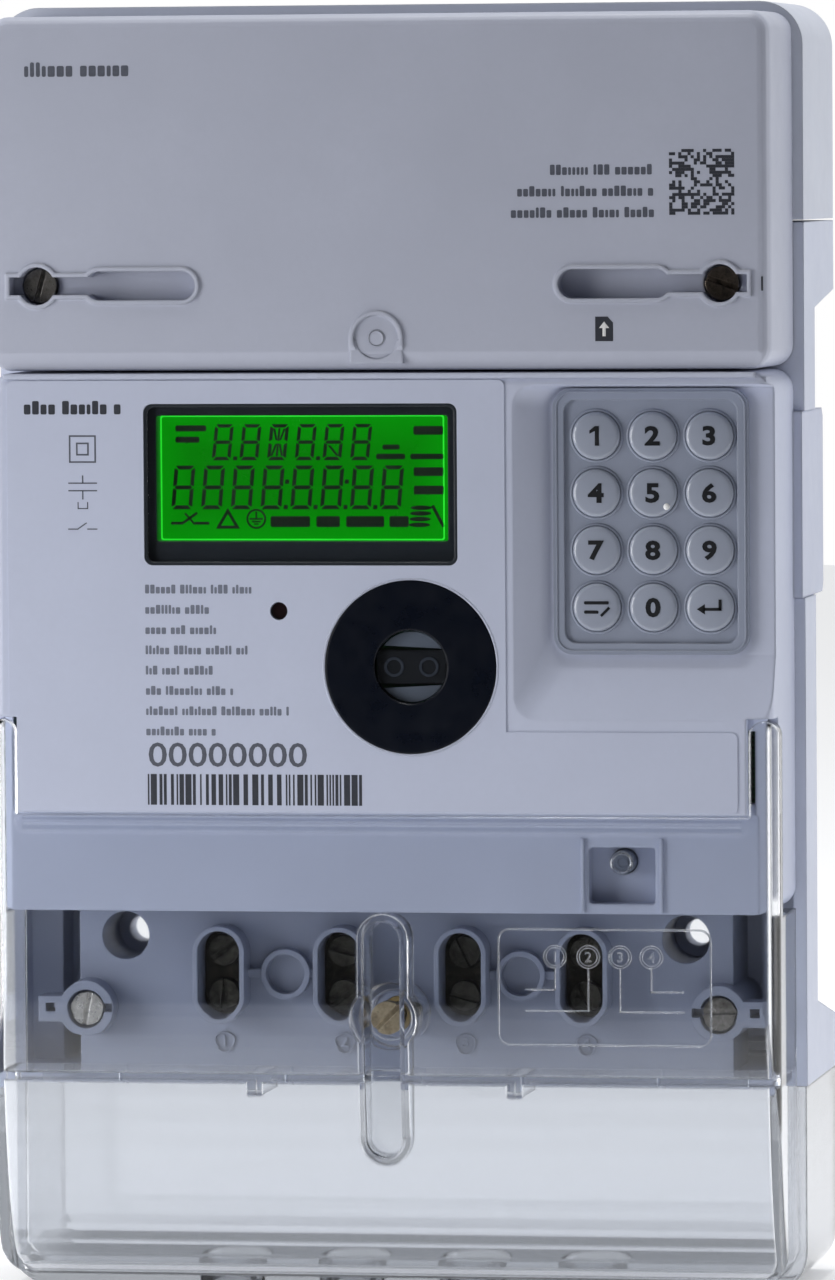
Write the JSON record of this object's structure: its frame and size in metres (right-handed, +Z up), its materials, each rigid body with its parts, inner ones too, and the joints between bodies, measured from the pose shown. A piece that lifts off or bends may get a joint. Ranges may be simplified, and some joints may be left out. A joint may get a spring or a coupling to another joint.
{
  "type": "prepaid electricity meter",
  "caption": "Wall-mounted prepaid electricity meter: plug-on radio module, lit display, keypad, optical port, and a clear terminal cover over screw terminals.",
  "frame": {"origin": "centre of the back face, on the wall plane", "axes": "+Z up, -Y out of the wall towards the reader, +X to the right seen from the front"},
  "size_m": [0.152, 0.0664, 0.24],
  "materials": {
    "front_plastic": "fine textured lavender-grey",
    "case_plastic": "fine textured light lavender-grey",
    "block_plastic": "moulded grey",
    "label_film": "printed satin film",
    "clear_cover": "clear moulded polycarbonate",
    "lens": "clear polished",
    "black_gloss": "gloss black",
    "black_matte": "moulded black",
    "display_green": "lit green liquid-crystal glass",
    "light_guide": "frosted light guide",
    "key_rubber": "satin silicone",
    "mat_rubber": "moulded silicone",
    "circuit_board": "solder mask",
    "smoked_window": "translucent smoked",
    "diode_dark": "infrared epoxy",
    "lamp_red": "dark red epoxy, unlit",
    "brass": "machined",
    "copper": "tinned copper bar",
    "nickel_steel": "nickel plated",
    "dark_steel": "dark passivated",
    "aged_brass": "aged brass",
    "tin_plate": "tin plated",
    "relay_blue": "moulded",
    "winding_tape": "taped winding",
    "cell_sleeve": "shrink sleeve",
    "cell_white": "shrink sleeve",
    "card_plastic": "card stock"
  },
  "bodies": {
    "meter": {"base_case": "case_plastic", "cable_tray": "clear_cover", "front_cover": "front_plastic", "front_label": "label_film", "hanger_plate": "tin_plate", "hanger_screws": "tin_plate", "module_nuts": "brass", "module_socket": "black_matte", "display_window": "lens", "display_bezel": "black_gloss", "display_glass": "display_green", "display_backlight": "light_guide", "keypad_frame": "front_plastic", "keypad_mat": "mat_rubber", "keypad_board": "circuit_board", "port_ring": "black_gloss", "port_window": "smoked_window", "diode_holder": "black_matte", "infrared_diodes": "diode_dark", "pulse_lamp": "lamp_red", "main_board": "circuit_board", "transformer": "winding_tape", "supercapacitor": "cell_sleeve", "backup_battery": "cell_white", "current_shunt": "copper", "latching_relay": "relay_blue", "relay_busbars": "copper", "terminal_block": "block_plastic", "terminal_clamps": "brass", "cover_switch": "black_matte", "cover_nut": "brass"},
    "module": {"module_cover": "front_plastic", "module_back": "case_plastic", "module_board": "circuit_board", "cellular_modem": "tin_plate", "module_antenna": "tin_plate", "sim_holder": "tin_plate", "sim_card": "card_plastic", "module_plug": "black_matte"},
    "module_screw_left": {"module_screw_left": "dark_steel"},
    "module_screw_right": {"module_screw_right": "dark_steel"},
    "case_screw_left": {"case_screw_left": "nickel_steel"},
    "case_screw_right": {"case_screw_right": "nickel_steel"},
    "clamp_screws": {"clamp_screws": "dark_steel"},
    "switch_plunger": {"switch_plunger": "black_matte"},
    "terminal_cover": {"terminal_cover": "clear_cover"},
    "cover_screw": {"cover_screw": "aged_brass"},
    "key_1": {"key_1": "key_rubber"},
    "key_2": {"key_2": "key_rubber"},
    "key_3": {"key_3": "key_rubber"},
    "key_4": {"key_4": "key_rubber"},
    "key_5": {"key_5": "key_rubber"},
    "key_6": {"key_6": "key_rubber"},
    "key_7": {"key_7": "key_rubber"},
    "key_8": {"key_8": "key_rubber"},
    "key_9": {"key_9": "key_rubber"},
    "key_start": {"key_start": "key_rubber"},
    "key_0": {"key_0": "key_rubber"},
    "key_submit": {"key_submit": "key_rubber"}
  },
  "joints": [
    {"name": "key_1_press", "type": "slide", "parent": "meter", "child": "key_1", "axis": [0, 1, 0], "range_m": [0, 0.001], "stiffness_N_per_m": 1500},
    {"name": "key_2_press", "type": "slide", "parent": "meter", "child": "key_2", "axis": [0, 1, 0], "range_m": [0, 0.001], "stiffness_N_per_m": 1500},
    {"name": "key_3_press", "type": "slide", "parent": "meter", "child": "key_3", "axis": [0, 1, 0], "range_m": [0, 0.001], "stiffness_N_per_m": 1500},
    {"name": "key_4_press", "type": "slide", "parent": "meter", "child": "key_4", "axis": [0, 1, 0], "range_m": [0, 0.001], "stiffness_N_per_m": 1500},
    {"name": "key_5_press", "type": "slide", "parent": "meter", "child": "key_5", "axis": [0, 1, 0], "range_m": [0, 0.001], "stiffness_N_per_m": 1500},
    {"name": "key_6_press", "type": "slide", "parent": "meter", "child": "key_6", "axis": [0, 1, 0], "range_m": [0, 0.001], "stiffness_N_per_m": 1500},
    {"name": "key_7_press", "type": "slide", "parent": "meter", "child": "key_7", "axis": [0, 1, 0], "range_m": [0, 0.001], "stiffness_N_per_m": 1500},
    {"name": "key_8_press", "type": "slide", "parent": "meter", "child": "key_8", "axis": [0, 1, 0], "range_m": [0, 0.001], "stiffness_N_per_m": 1500},
    {"name": "key_9_press", "type": "slide", "parent": "meter", "child": "key_9", "axis": [0, 1, 0], "range_m": [0, 0.001], "stiffness_N_per_m": 1500},
    {"name": "key_start_press", "type": "slide", "parent": "meter", "child": "key_start", "axis": [0, 1, 0], "range_m": [0, 0.001], "stiffness_N_per_m": 1500},
    {"name": "key_0_press", "type": "slide", "parent": "meter", "child": "key_0", "axis": [0, 1, 0], "range_m": [0, 0.001], "stiffness_N_per_m": 1500},
    {"name": "key_submit_press", "type": "slide", "parent": "meter", "child": "key_submit", "axis": [0, 1, 0], "range_m": [0, 0.001], "stiffness_N_per_m": 1500},
    {"name": "terminal_cover_lift", "type": "slide", "parent": "meter", "child": "terminal_cover", "axis": [0, -1, 0], "range_m": [0, 0.08]},
    {"name": "module_unplug", "type": "slide", "parent": "meter", "child": "module", "axis": [0, -1, 0], "range_m": [0, 0.08]},
    {"name": "clamp_screws_tighten", "type": "slide", "parent": "meter", "child": "clamp_screws", "axis": [0, 1, 0], "range_m": [0, 0.0035]},
    {"name": "cover_switch_press", "type": "slide", "parent": "meter", "child": "switch_plunger", "axis": [0, 1, 0], "range_m": [0, 0.0012], "stiffness_N_per_m": 500},
    {"name": "cover_screw_turn", "type": "hinge", "parent": "terminal_cover", "child": "cover_screw", "pos_m": [0, -0.05, -0.0674], "axis": [0, -1, 0], "continuous": true},
    {"name": "module_screw_left_turn", "type": "hinge", "parent": "module", "child": "module_screw_left", "pos_m": [-0.0637, -0.05, 0.0683], "axis": [0, -1, 0], "continuous": true},
    {"name": "module_screw_right_turn", "type": "hinge", "parent": "module", "child": "module_screw_right", "pos_m": [0.0637, -0.05, 0.0683], "axis": [0, -1, 0], "continuous": true},
    {"name": "case_screw_left_turn", "type": "hinge", "parent": "meter", "child": "case_screw_left", "pos_m": [-0.0599, -0.05, -0.0675], "axis": [0, -1, 0], "continuous": true},
    {"name": "case_screw_right_turn", "type": "hinge", "parent": "meter", "child": "case_screw_right", "pos_m": [0.0599, -0.05, -0.0675], "axis": [0, -1, 0], "continuous": true}
  ]
}
